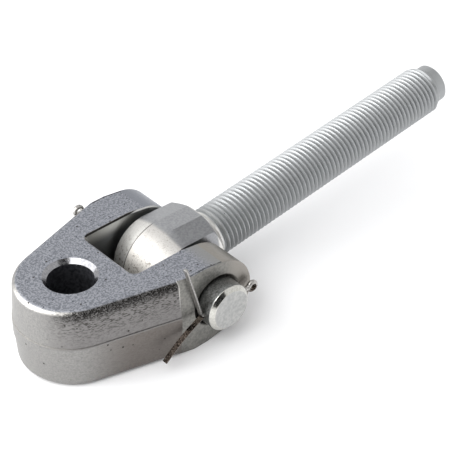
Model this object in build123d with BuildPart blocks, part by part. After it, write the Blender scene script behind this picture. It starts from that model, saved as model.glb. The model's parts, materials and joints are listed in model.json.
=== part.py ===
from build123d import *
from math import acos, cos, degrees, radians, sin, sqrt, tan
import os

os.makedirs("parts", exist_ok=True)

# Clevis rod end: a forged yoke, an eye bolt that swings in it on a headless clevis pin, and two
# split cotter pins. Millimetres. The origin is the centre of the hitch bore at the yoke's
# mid-height, +X runs along the yoke towards the threaded shank, +Z along the hitch bore.

# Yoke, the forged body
yoke_height = 51.5
nose_radius = 32.9  # at the trimmed flash band
taper_angle = 15.5  # each flank of the body opens from the centre plane
draft_angle = 3.5
flash_top = 2.5  # the band left by trimming the flash, above and below mid-height
flash_bottom = 6.5
flash_proud = 0.4
top_rounding = 3.5
bottom_rounding = 5.0
step_x = 39.0  # the body ends here and the milled ears begin
hitch_bore_radius = 12.85
hitch_bore_chamfer = 2.4

# Yoke, the ears
pin_x = 65.0  # hitch bore to clevis pin
cheek_y = 43.8  # milled outer face of an ear
relief_depth = 2.6  # the cutter's run-out behind the step
relief_length = 9.5
ear_end_radius = 24.2  # milled round about the pin
ear_slope_x = 57.0  # the top and bottom faces slope to that round from here
slot_front_x = 25.3
slot_half = 21.9
slot_corner = 4.0
slot_edge_break = 0.8
pin_bore_chamfer = 2.0

# Clevis pin
pin_radius = 14.0
running_clearance = 0.06  # radial, in the ears and in the eye
pin_overhang = 11.4  # past each cheek
pin_end_chamfer = 2.4
cross_hole_inset = 7.2  # cross hole to the pin's end
cross_hole_radius = 1.85

# Eye bolt. u runs along the shank from the pin axis, and it stands above the yoke's plane.
rest_tilt = 7.0
crown_radius = 25.8
crown_land_half = 6.0  # the flat middle band of the eye
crown_bevel_angle = 16.5
eye_half_width = 18.4
eye_bore_chamfer = 1.2
head_taper = 9.0  # the head's top and bottom leave the eye at this angle to the shank
shoulder_u = 23.1  # where the turned shoulder would reach crown_radius
shoulder_slope = 31.0  # of the shoulder, from the plane across the shank
neck_radius = 14.0
thread_radius = 15.0
thread_start_u = 32.5
thread_end_u = 206.8
thread_lead_in = 1.0
tip_taper_length = 5.0
tip_radius = 12.0
bolt_length_u = 217.8
tip_chamfer = 1.0

# Split cotter pins, half-round wire
wire_radius = 1.6
wire_half_gap = 0.08  # between the flat faces of the two legs
eye_inner_radius = 2.1
throat_radius = 2.4
bend_radius = 2.2
bend_start = 14.0  # from the pin's axis
leg_bow = 18.0  # how far the second leg curves on after its bend

# The two cotters as they were put in: how far the middle of the eye stands from the pin's axis,
# the eye's direction seen from -Y, from +X towards +Z, and each leg's bend and length.
near_cotter = {"eye_reach": 21.4, "eye_angle": 1.5, "bends": (76.0, 22.0), "legs": (36.4, 32.0)}
far_cotter = {"eye_reach": 31.0, "eye_angle": 138.0, "bends": (12.0, 118.0), "legs": (15.0, 23.0)}

half_height = yoke_height / 2
pin_axis = Axis((pin_x, 0, 0), (0, 1, 0))
beyond = 2 * (pin_x + bolt_length_u)  # longer than anything it has to pass through


def body_outline(radius):
    """The nose arc and the two flanks tangent to it, closed behind the step."""
    rear_x = step_x + relief_length
    flank = radians(taper_angle)
    nose = (-radius * sin(flank), radius * cos(flank))
    rear = (rear_x, (radius + rear_x * sin(flank)) / cos(flank))
    with BuildSketch() as outline:
        with BuildLine():
            ThreePointArc(nose, (-radius, 0), (nose[0], -nose[1]))
            Line((nose[0], -nose[1]), (rear[0], -rear[1]))
            Line((rear[0], -rear[1]), rear)
            Line(rear, nose)
        make_face()
    return outline.sketch


def drafted_half(flash_edge):
    """What one die forms above the trimmed flash, with its flank drafted."""
    with BuildPart() as half:
        with BuildSketch(Plane.XY.offset(flash_edge)):
            add(body_outline(nose_radius - flash_proud))
        extrude(amount=half_height - flash_edge, taper=draft_angle)
    return half.part


# The body is forged between two dies: a plain flash band and a drafted half on each side of it.
with BuildPart() as body:
    add(drafted_half(flash_top))
    add(drafted_half(flash_bottom).mirror(Plane.XY))
    with BuildSketch(Plane.XY.offset(-flash_bottom)):
        add(body_outline(nose_radius))
    extrude(amount=flash_top + flash_bottom)
    for face_index, rounding in ((-1, top_rounding), (0, bottom_rounding)):
        rim = body.faces().sort_by(Axis.Z)[face_index].edges().sort_by(Axis.X)[:-1]
        fillet(rim, rounding)
    split(bisect_by=Plane.YZ.offset(step_x), keep=Keep.BOTTOM)

# The ears: milled cheeks with a run-out at the step, and round ends about the pin that the top
# and bottom faces slope to.
with BuildPart() as ears:
    with BuildSketch(Plane.XZ) as ear_side:
        with BuildLine():
            Line((step_x, -half_height), (step_x, half_height))
            Line((ear_slope_x, half_height), (ear_slope_x, -half_height))
            CenterArc((pin_x, 0), ear_end_radius, 0, 360)
        make_hull()
    extrude(amount=cheek_y, both=True)
    with BuildSketch(Plane.XY) as cheek_plan:
        with BuildLine():
            relief_y = cheek_y - relief_depth
            ear_end_x = pin_x + ear_end_radius
            Polyline(
                (step_x, 0), (step_x, relief_y), (step_x + relief_length, cheek_y), (ear_end_x, cheek_y),
                (ear_end_x, 0), close=True,
            )
        make_face()
        mirror(about=Plane.XZ)
    extrude(amount=half_height, both=True, mode=Mode.INTERSECT)

with BuildPart() as slot:
    with BuildSketch() as slot_plan:
        with Locations((slot_front_x, 0)):
            Rectangle(beyond, 2 * slot_half, align=(Align.MIN, Align.CENTER))
        fillet(slot_plan.vertices().group_by(Axis.X)[0], slot_corner)
    extrude(amount=yoke_height, both=True)

with BuildPart() as yoke:
    add(body.part)
    add(ears.part)
    add(slot.part, mode=Mode.SUBTRACT)
    slot_rims = yoke.edges().filter_by(
        lambda rim: rim.center().X > slot_front_x - 0.01 and abs(rim.center().Y) < slot_half + 0.01
    ) - yoke.edges().filter_by(Axis.Z)
    chamfer(slot_rims, slot_edge_break)
    Hole(hitch_bore_radius)
    hitch_rims = yoke.edges().filter_by(GeomType.CIRCLE).filter_by(
        lambda rim: abs(rim.radius - hitch_bore_radius) < 0.01 and abs(rim.arc_center.X) < 0.01
    )
    chamfer(hitch_rims, hitch_bore_chamfer)
    with BuildSketch(Plane.XZ):
        with Locations((pin_x, 0)):
            Circle(pin_radius + running_clearance)
    extrude(amount=beyond, both=True, mode=Mode.SUBTRACT)
    cheek_rims = yoke.faces().filter_by(GeomType.PLANE).filter_by(
        lambda face: abs(abs(face.center().Y) - cheek_y) < 0.01
    ).edges().filter_by(GeomType.CIRCLE).filter_by(
        lambda rim: abs(rim.radius - pin_radius - running_clearance) < 0.01
    )
    chamfer(cheek_rims, pin_bore_chamfer)
yoke.part.label = "yoke"

# The eye bolt: the eye is turned about the pin, and its section carries on as the bolt's head, on
# two runs that close in on the shank.
shank_direction = (cos(radians(rest_tilt)), 0, sin(radians(rest_tilt)))
eye_plane = Plane(origin=(pin_x, 0, 0), x_dir=shank_direction, z_dir=(-shank_direction[2], 0, shank_direction[0]))
flank_radius = crown_radius - (eye_half_width - crown_land_half) * tan(radians(crown_bevel_angle))
shoulder_rise = tan(radians(shoulder_slope))
shoulder_foot_u = shoulder_u + (crown_radius - neck_radius) * shoulder_rise
corner_radius = 1.2 * sqrt(eye_half_width**2 + crown_radius**2)
corner_u = shoulder_u - (corner_radius - crown_radius) * shoulder_rise
shank_axis = Axis((pin_x, 0, 0), shank_direction)

with BuildPart() as head:
    for half in (1, -1):
        run = radians(rest_tilt - half * head_taper)
        run_direction = (cos(run), 0, sin(run))
        with BuildSketch(Plane(origin=(pin_x, 0, 0), x_dir=(0, 1, 0), z_dir=run_direction)):
            with BuildLine():
                Polyline(
                    (0, 0), (eye_half_width, 0), (eye_half_width, half * flank_radius),
                    (crown_land_half, half * crown_radius), (0, half * crown_radius),
                )
                mirror(about=Plane.YZ)
            make_face()
        extrude(amount=shoulder_foot_u / cos(radians(head_taper)), dir=run_direction)
    with BuildSketch(eye_plane):
        with BuildLine():
            Polyline(
                (0, 0), (0, corner_radius), (corner_u, corner_radius), (shoulder_foot_u, neck_radius),
                (shoulder_foot_u, 0), close=True,
            )
        make_face()
    revolve(axis=shank_axis, mode=Mode.INTERSECT)

with BuildPart() as eye_bolt:
    with BuildSketch(eye_plane):
        with BuildLine():
            Polyline(
                (0, eye_half_width), (flank_radius, eye_half_width), (crown_radius, crown_land_half),
                (crown_radius, -crown_land_half), (flank_radius, -eye_half_width), (0, -eye_half_width),
                close=True,
            )
        make_face()
    revolve(axis=pin_axis)
    add(head.part)
    with BuildSketch(eye_plane):
        with BuildLine():
            Polyline(
                (crown_radius, 0), (crown_radius, neck_radius), (thread_start_u, neck_radius),
                (thread_start_u + thread_lead_in, thread_radius), (thread_end_u, thread_radius),
                (thread_end_u + tip_taper_length, tip_radius), (bolt_length_u, tip_radius),
                (bolt_length_u, 0), close=True,
            )
        make_face()
    revolve(axis=shank_axis)
    chamfer(eye_bolt.faces().sort_by(shank_axis)[-1].edges(), tip_chamfer)
    with BuildSketch(Plane.XZ):
        with Locations((pin_x, 0)):
            Circle(pin_radius + running_clearance)
    extrude(amount=beyond, both=True, mode=Mode.SUBTRACT)
    eye_rims = eye_bolt.faces().filter_by(GeomType.PLANE).filter_by(
        lambda face: abs(abs(face.center().Y) - eye_half_width) < 0.01
    ).edges().filter_by(GeomType.CIRCLE)
    chamfer(eye_rims.filter_by(lambda rim: abs(rim.radius - pin_radius) < 1), eye_bore_chamfer)
eye_bolt.part.label = "eye_bolt"

# The clevis pin, with a cross hole near each end. The two holes are not drilled in line.
pin_half_length = cheek_y + pin_overhang
hole_y = pin_half_length - cross_hole_inset


def eye_frame(side, eye_angle):
    """A cotter's plane: x towards its eye, square to the clevis pin."""
    turn = radians(eye_angle)
    return Plane(origin=(pin_x, side * hole_y, 0), x_dir=(cos(turn), 0, sin(turn)), z_dir=(0, -1, 0))


near_frame = eye_frame(-1, near_cotter["eye_angle"])
far_frame = eye_frame(1, far_cotter["eye_angle"])

with BuildPart() as clevis_pin:
    with BuildSketch(Plane.XZ):
        with Locations((pin_x, 0)):
            Circle(pin_radius)
    extrude(amount=pin_half_length, both=True)
    chamfer(clevis_pin.faces().filter_by(Axis.Y).edges(), pin_end_chamfer)
    for frame in (near_frame, far_frame):
        with BuildSketch(Plane(origin=frame.origin, z_dir=frame.x_dir)):
            Circle(cross_hole_radius)
        extrude(amount=beyond, both=True, mode=Mode.SUBTRACT)
clevis_pin.part.label = "clevis_pin"


def cotter_pin(frame, setting):
    """One half-round wire: leg, half of the shank, the eye, the other half and the other leg.

    The path is the middle of the wire's flat face, and the wire lies on the left of it.
    """
    throat_turn = degrees(acos((wire_half_gap + throat_radius) / (eye_inner_radius + throat_radius)))
    throat_x = setting["eye_reach"] - (eye_inner_radius + throat_radius) * sin(radians(throat_turn))
    shank_length = throat_x + bend_start
    first_bend, second_bend = setting["bends"]
    first_leg, second_leg = setting["legs"]
    bend = radians(first_bend)
    foot = (-bend_start - bend_radius * sin(bend), wire_half_gap + bend_radius * (1 - cos(bend)))
    tip = (foot[0] - first_leg * cos(bend), foot[1] + first_leg * sin(bend))
    with BuildPart() as cotter:
        with BuildLine(frame) as path:
            wire = Line(tip, foot)
            for turn, radius, straight in (
                (first_bend, bend_radius, shank_length),
                (throat_turn, throat_radius, 0),
                (-180 - 2 * throat_turn, eye_inner_radius, 0),
                (throat_turn, throat_radius, shank_length),
                (second_bend, bend_radius, 0),
                (leg_bow, second_leg / radians(leg_bow), 0),
            ):
                wire = JernArc(wire @ 1, wire % 1, radius, turn)
                if straight:
                    wire = PolarLine(wire @ 1, straight, direction=wire % 1)
        for run in path.edges():
            left = frame.z_dir.cross(run % 0)
            with BuildSketch(Plane(origin=run @ 0, x_dir=left, z_dir=run % 0)):
                Circle(wire_radius)
                Rectangle(
                    2 * wire_radius, 2 * wire_radius, align=(Align.MAX, Align.CENTER), mode=Mode.SUBTRACT
                )
            if run.geom_type == GeomType.LINE:
                extrude(amount=run.length)
            else:
                turns_left = (run.arc_center - run @ 0).dot(left) > 0
                bend_axis = Axis(run.arc_center, frame.z_dir if turns_left else -frame.z_dir)
                revolve(axis=bend_axis, revolution_arc=degrees(run.length / run.radius))
    return cotter.part


for name, frame, setting in (
    ("cotter_pin_near", near_frame, near_cotter),
    ("cotter_pin_far", far_frame, far_cotter),
):
    cotter = cotter_pin(frame, setting)
    cotter.label = name
    export_step(cotter, f"parts/{name}.step")

for piece in (yoke, eye_bolt, clevis_pin):
    export_step(piece.part, f"parts/{piece.part.label}.step")
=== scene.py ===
import json
import math
import bmesh
import bpy
from mathutils import Matrix, Vector


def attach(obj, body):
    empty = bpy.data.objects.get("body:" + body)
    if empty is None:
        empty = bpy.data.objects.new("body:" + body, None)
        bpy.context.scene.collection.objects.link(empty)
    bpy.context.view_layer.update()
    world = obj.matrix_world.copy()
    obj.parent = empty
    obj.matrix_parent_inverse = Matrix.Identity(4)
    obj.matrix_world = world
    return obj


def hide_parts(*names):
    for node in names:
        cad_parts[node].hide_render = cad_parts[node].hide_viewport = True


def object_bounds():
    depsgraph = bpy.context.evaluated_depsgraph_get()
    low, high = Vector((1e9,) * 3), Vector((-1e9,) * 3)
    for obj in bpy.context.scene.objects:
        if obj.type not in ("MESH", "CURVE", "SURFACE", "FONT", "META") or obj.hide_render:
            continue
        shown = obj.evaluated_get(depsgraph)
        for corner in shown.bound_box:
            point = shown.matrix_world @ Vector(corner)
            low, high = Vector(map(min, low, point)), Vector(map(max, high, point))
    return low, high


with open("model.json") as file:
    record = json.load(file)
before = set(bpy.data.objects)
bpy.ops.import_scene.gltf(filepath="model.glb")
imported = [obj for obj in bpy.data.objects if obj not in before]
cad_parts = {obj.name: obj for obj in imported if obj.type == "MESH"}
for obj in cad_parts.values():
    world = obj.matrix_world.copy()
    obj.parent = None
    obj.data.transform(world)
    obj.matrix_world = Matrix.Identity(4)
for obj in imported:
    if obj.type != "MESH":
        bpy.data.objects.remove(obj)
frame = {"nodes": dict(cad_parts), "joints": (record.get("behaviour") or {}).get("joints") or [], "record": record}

cadBounds = [list(corner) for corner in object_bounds()]
mm = 0.001
swing = next(j for j in frame["joints"] if j["name"] == "rod_swing")
pinCentre = Vector(swing["pos_m"])
pinX = pinCentre.x / mm
pinAxis = Vector((0, 1, 0))
shankAxis = Vector(next(m for m in frame["record"]["mounts"] if m["name"] == "threaded_shank")["axis"])
print("frame loaded:", ", ".join(sorted(frame["nodes"])))


def hexToLinear(hexColor):
    channels = [int(hexColor[i:i + 2], 16) / 255 for i in (1, 3, 5)]
    return [c / 12.92 if c <= 0.04045 else ((c + 0.055) / 1.055) ** 2.4 for c in channels] + [1.0]


def addNode(tree, kind, settings={}, links={}):
    node = tree.nodes.new(kind)
    for name, value in settings.items():
        setattr(node, name, value)
    for key, value in links.items():
        socket = node.inputs[key]
        if isinstance(value, bpy.types.NodeSocket):
            tree.links.new(value, socket)
        else:
            socket.default_value = value
    return node


# the camera looks down at the yoke's top face from the nose's near side, angles in degrees and sizes in mm
cameraSetup = {"azimuth": 41.53, "elevation": 37.624, "roll": -0.257, "distance": 925.71, "along": 110.34,
               "rise": -18.75, "height": 25.75, "focalPixels": 1640.1, "imageWidth": 452, "sensorWidth": 36}


def makeCamera(c):
    azimuth, elevation, roll = (math.radians(c[k]) for k in ("azimuth", "elevation", "roll"))
    right = Vector((math.cos(azimuth), -math.sin(azimuth), 0))
    away = Vector((math.sin(azimuth), math.cos(azimuth), 0))
    up = Vector((0, 0, 1))
    forward = math.cos(elevation) * away - math.sin(elevation) * up
    level = math.sin(elevation) * away + math.cos(elevation) * up
    imageRight = math.cos(roll) * right + math.sin(roll) * level
    imageUp = math.cos(roll) * level - math.sin(roll) * right
    place = Vector((c["along"], 0, c["height"])) - c["distance"] * forward + c["rise"] * imageUp
    data = bpy.data.cameras.new("camera")
    data.sensor_width = c["sensorWidth"]
    data.lens = c["focalPixels"] / c["imageWidth"] * data.sensor_width
    camera = bpy.data.objects.new("camera", data)
    turn = Matrix((imageRight, imageUp, -forward)).transposed().to_4x4()
    camera.matrix_world = Matrix.Translation(place * mm) @ turn
    bpy.context.scene.collection.objects.link(camera)
    bpy.context.scene.camera = camera


makeCamera(cameraSetup)

# a paper floor, a white world, three soft lamps, and two cards that only reflections see, sizes in m
studio = {"floorSize": 6.0, "floorColor": "#F7F7F8", "paperRoughness": 0.95, "worldColor": "#FFFFFF",
          "worldStrength": 0.9, "backgroundStrength": 1.0, "middle": (0.07, 0, 0)}
lamps = {
    "leftSoftbox": {"toward": (-0.64, 0.42, 0.50), "distance": 1.2, "size": 1.3, "power": 12.3},
    "frontFill": {"toward": (-0.55, -0.25, 0.75), "distance": 1.2, "size": 0.6, "power": 4.5},
    "lowLeftStrip": {"toward": (-0.80, 0.50, 0.16), "distance": 0.9, "size": 0.3, "power": 2.5},
}
cards = {
    "blackCard": {"toward": (-0.28, -0.72, 0.43), "distance": 1.7, "size": 1.6, "color": "#0C0C0D"},
    "greyCard": {"toward": (0.62, 0.02, 0.78), "distance": 1.3, "size": 1.0, "color": "#9E9E9E"},
}


def flatPanel(name, size, turn, material):
    mesh = bpy.data.meshes.new(name)
    corners = [(-0.5, -0.5), (0.5, -0.5), (0.5, 0.5), (-0.5, 0.5)]
    mesh.from_pydata([turn @ Vector((x * size, y * size, 0)) for x, y in corners], [], [(0, 1, 2, 3)])
    mesh.materials.append(material)
    panel = bpy.data.objects.new(name, mesh)
    bpy.context.scene.collection.objects.link(panel)
    return panel


def matte(name, color):
    material = bpy.data.materials.new(name)
    material.use_nodes = True
    shader = material.node_tree.nodes["Principled BSDF"]
    shader.inputs["Base Color"].default_value = hexToLinear(color)
    shader.inputs["Roughness"].default_value = studio["paperRoughness"]
    return material


def facing(toward, distance):
    place = Vector(toward).normalized() * distance + Vector(studio["middle"])
    return Matrix.Translation(place) @ Vector(toward).to_track_quat("Z", "Y").to_matrix().to_4x4()


def makeStudio(s):
    ground = Matrix.Translation((0, 0, cadBounds[0][2]))
    flatPanel("floor", s["floorSize"], ground, matte("white studio paper", s["floorColor"]))
    for name, card in cards.items():
        panel = flatPanel(name, card["size"], facing(card["toward"], card["distance"]), matte(name, card["color"]))
        panel.visible_camera = panel.visible_diffuse = panel.visible_shadow = False
    world = bpy.data.worlds.new("studio")
    world.use_nodes = True
    tree = world.node_tree
    tree.nodes.clear()
    path = addNode(tree, "ShaderNodeLightPath").outputs
    seen = path["Is Camera Ray"]
    for ray in ("Is Glossy Ray", "Is Transmission Ray"):
        seen = addNode(tree, "ShaderNodeMath", {"operation": "MAXIMUM"}, {0: seen, 1: path[ray]}).outputs[0]
    tint = hexToLinear(s["worldColor"])
    soft = addNode(tree, "ShaderNodeBackground", {}, {"Color": tint, "Strength": s["worldStrength"]})
    white = addNode(tree, "ShaderNodeBackground", {}, {"Color": tint, "Strength": s["backgroundStrength"]})
    mix = addNode(tree, "ShaderNodeMixShader", {}, {0: seen, 1: soft.outputs[0], 2: white.outputs[0]})
    addNode(tree, "ShaderNodeOutputWorld", {}, {"Surface": mix.outputs[0]})
    bpy.context.scene.world = world
    for name, lamp in lamps.items():
        data = bpy.data.lights.new(name, "AREA")
        data.size = lamp["size"]
        data.energy = lamp["power"]
        light = bpy.data.objects.new(name, data)
        light.matrix_world = facing(lamp["toward"], lamp["distance"])
        bpy.context.scene.collection.objects.link(light)
    bpy.context.scene.view_settings.view_transform = "Standard"


makeStudio(studio)
print("camera, floor and lamps set")


# where a coat of colour lies is told by these measures of a point on the piece, all lengths in mm
def measurePoint(tree, look):
    coords = addNode(tree, "ShaderNodeTexCoord").outputs
    measures = {}
    for pattern, (size, detail, stretch) in {"grain": (look["grainSize"], 3, evenly), **look["patterns"]}.items():
        stretched = addNode(tree, "ShaderNodeMapping", {}, {"Vector": coords["Object"], "Scale": stretch})
        measures[pattern] = addNode(tree, "ShaderNodeTexNoise", {}, {
            "Vector": stretched.outputs[0], "Scale": 1 / (size * mm), "Detail": detail}).outputs["Fac"]
    if "pitSpacing" in look:
        cells = addNode(tree, "ShaderNodeTexVoronoi", {}, {
            "Vector": coords["Object"], "Scale": 1 / (look["pitSpacing"] * mm)}).outputs
        measures["fromPit"] = addNode(tree, "ShaderNodeMath", {"operation": "MULTIPLY"}, {
            0: cells["Distance"], 1: look["pitSpacing"]}).outputs[0]
        measures["pitChance"] = addNode(tree, "ShaderNodeSeparateColor", {}, {0: cells["Color"]}).outputs[0]
    if look["coats"]:
        place = addNode(tree, "ShaderNodeVectorMath", {"operation": "SCALE"}, {
            0: coords["Object"], "Scale": 1 / mm}).outputs[0]
        sides = addNode(tree, "ShaderNodeSeparateXYZ", {}, {0: place}).outputs
        measures.update({"x": sides["X"], "y": sides["Y"], "z": sides["Z"]})
        measures["fromMiddle"] = addNode(tree, "ShaderNodeMath", {"operation": "ABSOLUTE"}, {0: sides["Y"]}).outputs[0]
        measures["upward"] = addNode(tree, "ShaderNodeSeparateXYZ", {}, {0: coords["Normal"]}).outputs["Z"]
        offset = addNode(tree, "ShaderNodeVectorMath", {"operation": "SUBTRACT"}, {
            0: place, 1: pinCentre / mm}).outputs[0]
        measures["alongShank"] = addNode(tree, "ShaderNodeVectorMath", {"operation": "DOT_PRODUCT"}, {
            0: offset, 1: shankAxis}).outputs["Value"]
        for distance, axis in (("fromShank", shankAxis), ("fromPin", pinAxis)):
            across = addNode(tree, "ShaderNodeVectorMath", {"operation": "CROSS_PRODUCT"}, {0: offset, 1: axis})
            measures[distance] = addNode(tree, "ShaderNodeVectorMath", {"operation": "LENGTH"}, {
                0: across.outputs[0]}).outputs["Value"]
    return measures


# soft edges run from nothing at the first value to all at the second, bands have a centre and a half width
def coatShare(tree, measures, coat):
    parts = []
    for measure, start, end, *limits in coat.get("edges", ()):
        low, high = limits or (0.0, 1.0)
        parts.append(addNode(tree, "ShaderNodeMapRange", {"interpolation_type": "SMOOTHSTEP"}, {
            "Value": measures[measure], "From Min": start, "From Max": end, "To Min": low, "To Max": high}))
    for measure, centre, halfWidth in coat.get("bands", ()):
        parts.append(addNode(tree, "ShaderNodeMath", {"operation": "COMPARE"}, {
            0: measures[measure], 1: centre, 2: halfWidth}))
    share = parts[0].outputs[0]
    for part in parts[1:]:
        share = addNode(tree, "ShaderNodeMath", {"operation": "MULTIPLY"}, {
            0: share, 1: part.outputs[0]}).outputs[0]
    return share


def platedSteel(name, look):
    look = {"patterns": {}, "coats": {}, **look}
    material = bpy.data.materials.new(name)
    material.use_nodes = True
    tree = material.node_tree
    shader = tree.nodes["Principled BSDF"]
    measures = measurePoint(tree, look)
    surface = {"height": measures["grain"],
               "roughness": coatShare(tree, measures, {"edges": [("grain", *grainRange, *look["roughness"])]})}

    def layCoats(color, coats):
        for coat in coats.values():
            share = coatShare(tree, measures, coat)
            shade = layCoats(hexToLinear(coat["color"]), coat.get("over", {}))
            color = addNode(tree, "ShaderNodeMix", {"data_type": "RGBA"}, {0: share, 6: color, 7: shade}).outputs[2]
            if "roughness" in coat:
                least = addNode(tree, "ShaderNodeMath", {"operation": "MULTIPLY"}, {0: share, 1: coat["roughness"]})
                surface["roughness"] = addNode(tree, "ShaderNodeMath", {"operation": "MAXIMUM"}, {
                    0: surface["roughness"], 1: least.outputs[0]}).outputs[0]
            if coat.get("sunk"):
                surface["height"] = addNode(tree, "ShaderNodeMath", {"operation": "SUBTRACT"}, {
                    0: surface["height"], 1: share}).outputs[0]
        return color

    grain = {"color": look["light"], "edges": [("grain", *grainRange)]}
    color = layCoats(hexToLinear(look["dark"]), {"light grain": grain, **look["coats"]})
    relief = addNode(tree, "ShaderNodeBump", {}, {
        "Height": surface["height"], "Strength": 1.0, "Distance": look["grainDepth"] * mm})
    shader.inputs["Metallic"].default_value = 1.0
    tree.links.new(color, shader.inputs["Base Color"])
    tree.links.new(surface["roughness"], shader.inputs["Roughness"])
    tree.links.new(relief.outputs[0], shader.inputs["Normal"])
    return material


evenly = (1, 1, 1)
grainRange = (0.3, 0.7)  # the noise's middle part, over which the grain goes from dark to light
# of these colours the second is painted light standing in for highlights; the third darkens rough rims and a line
# along the ear tops, on the near rim partly as a painted dark reflection
streakMark, paintedLight, darkRim, stain = "#3F3D3A", "#C9C7C3", "#2B2A29", "#75685C"
nearSide, farSide = ("y", -10, -30), ("y", 25, 36)
upperRim = [("z", 18, 22.5), ("upward", 0.97, 0.85)]

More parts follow.
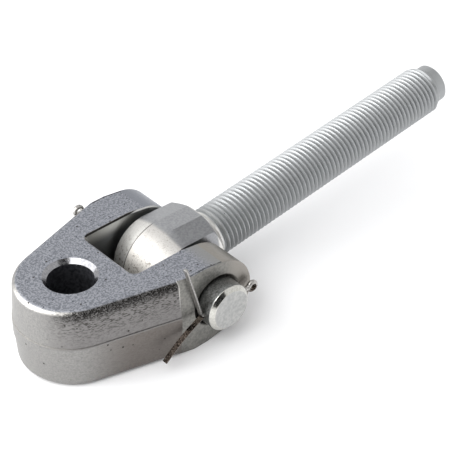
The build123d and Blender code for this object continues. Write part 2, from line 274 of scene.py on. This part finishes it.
# real grain and scratches are 0.1 to 0.3 mm wide, too fine to show, so they are drawn several times coarser;
# a pattern is a size in mm, a detail and a stretch; coats lie one over the other, "over" holds coats in a coat
looks = {
    # blasted forging under thin zinc: grey, grainy and dull, with painted light on the nose's rim, its flash ledge and
    # the step corner, dark along rough rims where the near rim is also a painted dark reflection, and a warmer lower
    # half darkened to the rear as painted shade
    "blasted zinc-plated forging": {
        "dark": "#8A8988", "light": "#9D9C99", "grainSize": 1.0, "grainDepth": 0.15, "roughness": (0.4, 0.55),
        "patterns": {"streaks": (0.65, 4, (0.3, 0.3, 1)), "highlightBreakup": (1.6, 4, evenly), "scale": (0.8, 3, evenly),
                     "specks": (1.3, 2, evenly), "lineBreaks": (3.0, 2, evenly)},
        "pitSpacing": 6.5,
        "coats": {
            "near flank": {"color": "#838180", "edges": [nearSide, ("z", 1, 2.6)]},
            "far flank": {"color": "#838180", "edges": [farSide, ("z", 1, 2.6)]},
            # the lower half is warmer, and darkened toward the rear as painted shade away from the key light
            "lower half warmer with painted shade to the rear": {"color": "#77726E", "edges": [("z", 2.6, 1), ("x", -20, 14)]},
            "near streaks": {"color": streakMark, "edges": [
                ("streaks", 0.46, 0.62), ("z", 1, 20, 0.15, 0.9), nearSide]},
            "far streaks": {"color": streakMark, "edges": [
                ("streaks", 0.46, 0.62), ("z", 1, 20, 0.15, 0.9), farSide]},
            # painted highlight on the nose's upper rim, broken up by noise
            "painted highlight on the nose rim": {"color": paintedLight, "edges": [
                *upperRim, ("upward", 0.3, 0.6), ("y", -29, -20), ("y", 18, 4), ("highlightBreakup", 0.32, 0.5, 0.35, 1)]},
            # the near rim: rough dark scale, and partly a painted dark reflection
            "near rough rim with painted dark reflection": {"color": darkRim, "edges": [
                *upperRim, ("scale", 0.36, 0.6, 0.25, 1), ("y", -14, -27)]},
            "far rough rim": {"color": darkRim, "edges": [*upperRim, farSide, ("grain", 0.4, 0.6)]},
            # painted light: the flash ledge at the nose is lightened against its own shade
            "painted light on the flash ledge": {"color": paintedLight, "edges": [("upward", 0.4, 0.7), ("x", 0, -14)],
                                "bands": [("z", 0, 4)]},
            # painted highlight along the step's vertical corner
            "painted highlight on the step corner": {"color": paintedLight, "edges": [("z", 4, 24, 0, 0.9)], "bands": [("x", 39, 0.6)]},
            "top face": {"color": "#7E8188", "edges": [("upward", 0.8, 0.97), ("z", 12, 20)], "over": {
                "cool grain": {"color": "#A6A8AF", "edges": [("grain", 0.4, 0.6)]},
                "specks": {"color": "#4A4D54", "edges": [("specks", 0.37, 0.28)]},
                "near ear": {"color": "#979796", "edges": [("x", 56, 68), ("y", 0, -5)]},
                # a dark line along the ear's top edge, broken up by noise
                "dark line on the ear top": {"color": darkRim, "edges": [("x", 44, 48), ("lineBreaks", 0.3, 0.5, 0.2, 0.8)],
                              "bands": [("fromMiddle", 42.9, 0.4)]}}},
            "pits": {"color": streakMark, "sunk": True, "edges": [
                ("fromPit", 0.75, 0.375), ("pitChance", 0.3, 0.35)]}}},
    # milled after forging, then plated: smoother and a little greenish, painted black as shade in the pin's gap, with
    # painted light and a painted shade line on the far slot wall
    "milled zinc-plated steel": {
        "dark": "#777673", "light": "#908F8A", "grainSize": 1.4, "grainDepth": 0.05, "roughness": (0.35, 0.45),
        "coats": {
            # painted shade: black in the gap round the pin
            "painted shade in the pin's gap": {"color": "#0A0A0A", "edges": [("fromPin", 15.6, 15.2)]},
            "ear ends": {"color": "#96928C", "edges": [("x", 68, 80)]},
            "ear tops": {"color": "#96928C", "edges": [("upward", 0.5, 0.8)]},
            "far ear end": {"color": "#888B92", "edges": [("y", 12, 20), ("x", 62, 66)]},
            "far wall": {"color": "#7E8082", "bands": [("y", 21.9, 0.7)], "over": {
                # painted light: the wall's upper part is lighter, as if lit from above
                "painted light on the upper part": {"color": "#C4C5C3", "edges": [("z", 16, 23)]}}},
            # painted shade: a dark line along the far wall's top edge
            "painted shade on the far wall's rim": {"color": "#2E2D2C", "edges": [("z", 24.4, 24.9)], "bands": [("y", 21.9, 0.7)]}}},
    # turned and plated: the crown coloured light as a painted highlight, with painted light on its foot and far bevel
    # band, and stained, a painted highlight on the neck, the head duller, the thread light
    "turned zinc-plated steel": {
        "dark": "#97989B", "light": "#A9AAAC", "grainSize": 1.2, "grainDepth": 0.04, "roughness": (0.3, 0.4),
        "patterns": {"stains": (2.2, 5, evenly), "specks": (0.7, 3, evenly)},
        "pitSpacing": 8.0,
        "coats": {
            # painted highlight on the neck behind the eye
            "painted highlight on the neck": {"color": "#EAE8E4", "edges": [("alongShank", 24, 26)]},
            "rod": {"color": "#ABADAE", "roughness": 0.52, "edges": [("alongShank", 31, 32.5)], "over": {
                "crests": {"color": "#B4B6B7", "edges": [("fromShank", 13.4, 14.9)]},
                "tip": {"color": "#B4B6B7", "edges": [("alongShank", 209, 212, 0, 0.3)]}}},
            # the crown is coloured light as a painted highlight
            "crown with painted highlight": {"color": "#C6C4C1", "roughness": 0.65, "edges": [("alongShank", 1, -2)], "over": {
                # painted light: the crown's foot is brightened against its shade by the slot
                "painted light on the crown's foot": {"color": "#EFECE7", "edges": [("alongShank", -4, -18)]},
                # painted light: the far bevel band is lightened
                "painted light on the far bevel band": {"color": "#CFCECB", "edges": [("y", 6, 6.5)]},
                "stains": {"color": stain, "edges": [("stains", 0.55, 0.7), ("alongShank", -10, -22, 0.1, 0.9)]},
                "specks": {"color": stain, "edges": [("specks", 0.55, 0.7, 0, 0.45)]},
                "edge line": {"color": "#7C7A78", "bands": [("y", 6, 0.35)]}}},
            "pits": {"color": "#4A4743", "sunk": True, "edges": [
                ("fromPit", 0.4, 0.2), ("pitChance", 0.3, 0.35)]}}},
    # a plain turned pin under zinc, a shade darker than the bolt
    "turned pin steel": {
        "dark": "#737473", "light": "#A0A1A0", "grainSize": 1.0, "grainDepth": 0.06, "roughness": (0.3, 0.42)},
    # the pin's ends are faced on the lathe: even, light and softly shiny
    "faced zinc-plated steel": {
        "dark": "#A3A4A3", "light": "#BBBBB9", "grainSize": 1.8, "grainDepth": 0.03, "roughness": (0.35, 0.45)},
    # chamfers are cut last and stay smooth, so they flash white or black
    "countersunk zinc-plated steel": {
        "dark": "#86868A", "light": "#9C9C9E", "grainSize": 1.2, "grainDepth": 0.006, "roughness": (0.14, 0.22)},
    "bevelled zinc-plated steel": {
        "dark": "#BDBCB6", "light": "#CFCEC8", "grainSize": 1.2, "grainDepth": 0.003, "roughness": (0.14, 0.22)},
    # drawn wire under zinc: light and a little shiny
    "zinc-plated wire": {
        "dark": "#989693", "light": "#C8C6C3", "grainSize": 0.8, "grainDepth": 0.05, "roughness": (0.3, 0.45)},
    # the wire's bent leg has lost its zinc and browned
    "browned steel wire": {
        "dark": "#3A332E", "light": "#8A8078", "grainSize": 0.8, "grainDepth": 0.02, "roughness": (0.15, 0.3)},
    # the zinc hardly reaches into the bore, which stays black with forging scale
    "black forging scale": {
        "dark": "#44454A", "light": "#606166", "grainSize": 1.5, "grainDepth": 0.1, "roughness": (0.55, 0.7)},
}
finishes = [platedSteel(name, look) for name, look in looks.items()]
forging, milled, turned, pinSteel, faced, countersunk, bevelled, wire, brownWire, scale = finishes
print("finishes made:", len(finishes))


def meshFromNode(name, mergeDistance=0.001, flatAngle=0.2):
    work = bmesh.new()
    work.from_mesh(frame["nodes"][name].data)
    bmesh.ops.remove_doubles(work, verts=work.verts[:], dist=mergeDistance * mm)
    bmesh.ops.dissolve_limit(work, angle_limit=math.radians(flatAngle), verts=work.verts[:], edges=work.edges[:])
    return work


def softenEdges(work, width, fromAngle, wanted):
    work.normal_update()
    edges = [e for e in work.edges if len(e.link_faces) == 2 and e.calc_face_angle(0) > math.radians(fromAngle)
             and wanted((e.verts[0].co + e.verts[1].co) / 2 / mm)]
    bmesh.ops.bevel(work, geom=edges, offset=width * mm, segments=2, profile=0.5, affect="EDGES",
                    clamp_overlap=True, offset_type="OFFSET")


def finishPiece(work, name, node, body, materials, pick, sharpAngle):
    mesh = bpy.data.meshes.new(name)
    work.normal_update()
    for face in work.faces:
        face.smooth = True
        face.material_index = materials.index(pick(face.calc_center_median() / mm, face.normal))
    work.to_mesh(mesh)
    work.free()
    for material in materials:
        mesh.materials.append(material)
    mesh.set_sharp_from_angle(angle=math.radians(sharpAngle))
    piece = bpy.data.objects.new(name, mesh)
    bpy.context.scene.collection.objects.link(piece)
    weighted = piece.modifiers.new("flat faces stay flat", "WEIGHTED_NORMAL")
    weighted.keep_sharp = True
    weighted.weight = 50
    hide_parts(node)
    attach(piece, body)


# the yoke: forged skin, milled cheeks, slot and ear ends, a black bore, sizes in mm
yokeShape = {"edgeBreak": 0.35, "breakFrom": 25, "sharpAngle": 19, "boreRadius": 12.85, "chamferWidth": 2.4,
             "slotFront": 25.3, "slotHalf": 21.9, "slotSlack": 0.7, "stepX": 39.0, "cheekInner": 40.5,
             "cheekOuter": 43.7, "gapRadius": 17.0, "endRadius": 24.2}


def makeYoke(y):
    work = meshFromNode("yoke")
    softenEdges(work, y["edgeBreak"], y["breakFrom"], lambda p: p.x > y["stepX"] + 1 and abs(p.y) > y["cheekOuter"])

    def pick(p, n):
        fromBore = math.hypot(p.x, p.y)
        fromPin = math.hypot(p.x - pinX, p.z)
        inSlot = abs(p.y) < y["slotHalf"] + y["slotSlack"] and p.x > y["slotFront"] - y["slotSlack"]
        onCheek = abs(p.y) > y["cheekInner"] and p.x > y["stepX"]
        onEarEnd = fromPin > y["endRadius"] - 1 and p.x > pinX - 2
        if fromBore < y["boreRadius"] + 0.05 and abs(n.z) < 0.1:
            return scale
        if fromBore < y["boreRadius"] + y["chamferWidth"] and 0.6 < abs(n.z) < 0.8:
            return countersunk
        if inSlot and abs(n.z) < 0.9 or onCheek and abs(n.y) > 0.5 or fromPin < y["gapRadius"] or onEarEnd:
            return milled
        return forging

    finishPiece(work, "yokeBody", "yoke", "yoke", (forging, milled, scale, countersunk), pick,
                y["sharpAngle"])


makeYoke(yokeShape)
print("yoke dressed")

# the eye bolt: the turned eye, head and tip from the frame with a cut thread between them, sizes in mm
boltShape = {"pitch": 3.0, "majorRadius": 15.0, "minorRadius": 13.2, "landShare": 0.125, "startRadius": 13.9,
             "leadIn": 1.2, "tipRadius": 12.0, "tipTaper": 5.0, "start": 32.3, "taperEnd": 211.8, "sides": 96,
             "spareTurns": 3, "seamMerge": 0.002, "sharpAngle": 12.5}


def threadTree(b):
    tree = bpy.data.node_groups.new("cut thread", "GeometryNodeTree")
    length = b["taperEnd"] - b["start"]
    sizes = {"Pitch": b["pitch"] * mm, "Major Radius": b["majorRadius"] * mm, "Minor Radius": b["minorRadius"] * mm,
             "Land Share": b["landShare"], "Start Radius": b["startRadius"] * mm, "Lead In": b["leadIn"] * mm,
             "Tip Radius": b["tipRadius"] * mm, "Tip Taper": b["tipTaper"] * mm, "Taper End": length * mm,
             "Seam Merge": b["seamMerge"] * mm, "Turns": int(length / b["pitch"]) + b["spareTurns"],
             "Sides": b["sides"], "Finish": turned}
    kinds = {float: "NodeSocketFloat", int: "NodeSocketInt"}
    for name, size in sizes.items():
        tree.interface.new_socket(name=name, in_out="INPUT",
                                  socket_type=kinds.get(type(size), "NodeSocketMaterial"))
    tree.interface.new_socket(name="Geometry", in_out="OUTPUT", socket_type="NodeSocketGeometry")
    given = addNode(tree, "NodeGroupInput").outputs
    position = addNode(tree, "GeometryNodeInputPosition").outputs[0]
    gridPlace = addNode(tree, "ShaderNodeSeparateXYZ", {}, {0: position}).outputs
    known = {name: given[name] for name in sizes}
    known.update({"across": gridPlace["X"], "up": gridPlace["Y"]})
    # a flat grid is rolled into the shank: each turn has two rows on the crest, then two in the root
    formulas = {
        "columns": ("ADD", "Sides", 1.0),
        "rows": ("MULTIPLY", "Turns", 4.0),
        "lastRow": ("SUBTRACT", "rows", 1.0),
        "turn": ("ADD", "across", 0.5),  # 0 to 1 round the shank
        "upShare": ("ADD", "up", 0.5),  # 0 to 1 along it
        "rowPlace": ("MULTIPLY", "upShare", "lastRow"),
        "row": ("ROUND", "rowPlace"),
        "halfRow": ("DIVIDE", "row", 2.0),
        "pair": ("FLOOR", "halfRow"),  # even pairs are crests, odd ones roots
        "pairTurns": ("DIVIDE", "pair", 2.0),
        "second": ("MODULO", "row", 2.0),
        "side": ("SUBTRACT", "second", 0.5),  # which side of the crest or root
        "phase": ("MULTIPLY_ADD", "side", "Land Share", "pairTurns"),
        "climb": ("ADD", "phase", "turn"),
        "fromStart": ("SUBTRACT", "climb", 1.5),  # starts below the cut, which trims it
        "height": ("MULTIPLY", "Pitch", "fromStart"),
        "inRoot": ("MODULO", "pair", 2.0),
        "onCrest": ("SUBTRACT", 1.0, "inRoot"),
        "depth": ("SUBTRACT", "Major Radius", "Minor Radius"),
        "cut": ("MULTIPLY_ADD", "onCrest", "depth", "Minor Radius"),
        "leadIn": ("RANGE", "height", 0.0, "Lead In", "Start Radius", "Major Radius"),
        "taperStart": ("SUBTRACT", "Taper End", "Tip Taper"),
        "taper": ("RANGE", "height", "taperStart", "Taper End", "Major Radius", "Tip Radius"),
        "afterLead": ("MINIMUM", "cut", "leadIn"),
        "radius": ("MINIMUM", "afterLead", "taper"),
        "angle": ("MULTIPLY", "turn", 2 * math.pi),
        "cosine": ("COSINE", "angle"),
        "sine": ("SINE", "angle"),
        "x": ("MULTIPLY", "radius", "cosine"),
        "y": ("MULTIPLY", "radius", "sine"),
    }
    for name, (operation, *terms) in formulas.items():
        kind = "ShaderNodeMapRange" if operation == "RANGE" else "ShaderNodeMath"
        settings = {} if operation == "RANGE" else {"operation": operation}
        links = {i: known.get(term, term) for i, term in enumerate(terms)}
        known[name] = addNode(tree, kind, settings, links).outputs[0]
    grid = addNode(tree, "GeometryNodeMeshGrid", {}, {
        "Size X": 1.0, "Size Y": 1.0, "Vertices X": known["columns"], "Vertices Y": known["rows"]})
    point = addNode(tree, "ShaderNodeCombineXYZ", {}, {"X": known["x"], "Y": known["y"], "Z": known["height"]})
    rolled = addNode(tree, "GeometryNodeSetPosition", {}, {
        "Geometry": grid.outputs["Mesh"], "Position": point.outputs[0]})
    closed = addNode(tree, "GeometryNodeMergeByDistance", {}, {
        "Geometry": rolled.outputs[0], "Distance": given["Seam Merge"]})
    real = addNode(tree, "GeometryNodeRealizeInstances", {}, {"Geometry": closed.outputs[0]})
    painted = addNode(tree, "GeometryNodeSetMaterial", {}, {
        "Geometry": real.outputs[0], "Material": given["Finish"]})
    addNode(tree, "NodeGroupOutput", {}, {"Geometry": painted.outputs[0]})
    return tree, sizes


def cutThread(b):
    holder = bpy.data.objects.new("threadMaker", bpy.data.meshes.new("threadMaker"))
    bpy.context.scene.collection.objects.link(holder)
    tree, sizes = threadTree(b)
    modifier = holder.modifiers.new("cut thread", "NODES")
    modifier.node_group = tree
    for socket in tree.interface.items_tree:
        if socket.in_out == "INPUT":
            modifier[socket.identifier] = sizes[socket.name]
    depsgraph = bpy.context.evaluated_depsgraph_get()
    mesh = bpy.data.meshes.new_from_object(holder.evaluated_get(depsgraph))
    bpy.data.objects.remove(holder)
    return mesh


def capCut(work, point, normal):
    cut = bmesh.ops.bisect_plane(work, geom=work.verts[:] + work.edges[:] + work.faces[:], dist=1e-7,
                                 plane_co=point, plane_no=normal, clear_outer=True)
    rim = [g for g in cut["geom_cut"] if isinstance(g, bmesh.types.BMEdge)]
    bmesh.ops.edgenet_fill(work, edges=rim)


def makeEyeBolt(b):
    start = pinCentre + shankAxis * b["start"] * mm
    end = pinCentre + shankAxis * b["taperEnd"] * mm
    work = meshFromNode("eye_bolt")
    capCut(work, start, shankAxis)
    shank = bmesh.new()
    shank.from_mesh(cutThread(b))
    capCut(shank, Vector((0, 0, 0)), Vector((0, 0, -1)))
    capCut(shank, Vector((0, 0, (b["taperEnd"] - b["start"]) * mm)), Vector((0, 0, 1)))
    bmesh.ops.recalc_face_normals(shank, faces=shank.faces[:])
    turn = shankAxis.to_track_quat("Z", "Y").to_matrix().to_4x4()
    bmesh.ops.transform(shank, matrix=Matrix.Translation(start) @ turn, verts=shank.verts[:])
    tip = meshFromNode("eye_bolt")
    capCut(tip, end, -shankAxis)
    for part in (shank, tip):
        mesh = bpy.data.meshes.new("part of the bolt")
        part.to_mesh(mesh)
        work.from_mesh(mesh)
        part.free()
        bpy.data.meshes.remove(mesh)
    finishPiece(work, "eyeBolt", "eye_bolt", "eye_bolt", (turned,), lambda p, n: turned,
                b["sharpAngle"])


makeEyeBolt(boltShape)
print("eye bolt cut")

# the clevis pin and its two cotters: bright faced ends, and a browned leg on the near cotter, sizes in mm
pinShape = {"edgeBreak": 0.4, "breakFrom": 30, "rimFrom": 52, "endFrom": 50, "sharpAngle": 20, "brownBelow": 0.0,
            "wireSharpAngle": 40}


def makePins(s):
    work = meshFromNode("clevis_pin")
    softenEdges(work, s["edgeBreak"], s["breakFrom"], lambda p: abs(p.y) > s["rimFrom"])

    def pickPin(p, n):
        if abs(p.y) < s["endFrom"] or abs(n.y) < 0.3:
            return pinSteel
        return faced if abs(n.y) > 0.9 else bevelled

    def pickWire(p, n):
        return brownWire if p.y < 0 and p.z < s["brownBelow"] else wire

    finishPiece(work, "clevisPin", "clevis_pin", "pin", (pinSteel, faced, bevelled), pickPin,
                s["sharpAngle"])
    for name, node in (("nearCotter", "cotter_pin_near"), ("farCotter", "cotter_pin_far")):
        finishPiece(meshFromNode(node), name, node, "pin", (wire, brownWire), pickWire,
                    s["wireSharpAngle"])


makePins(pinShape)
print("pins dressed")
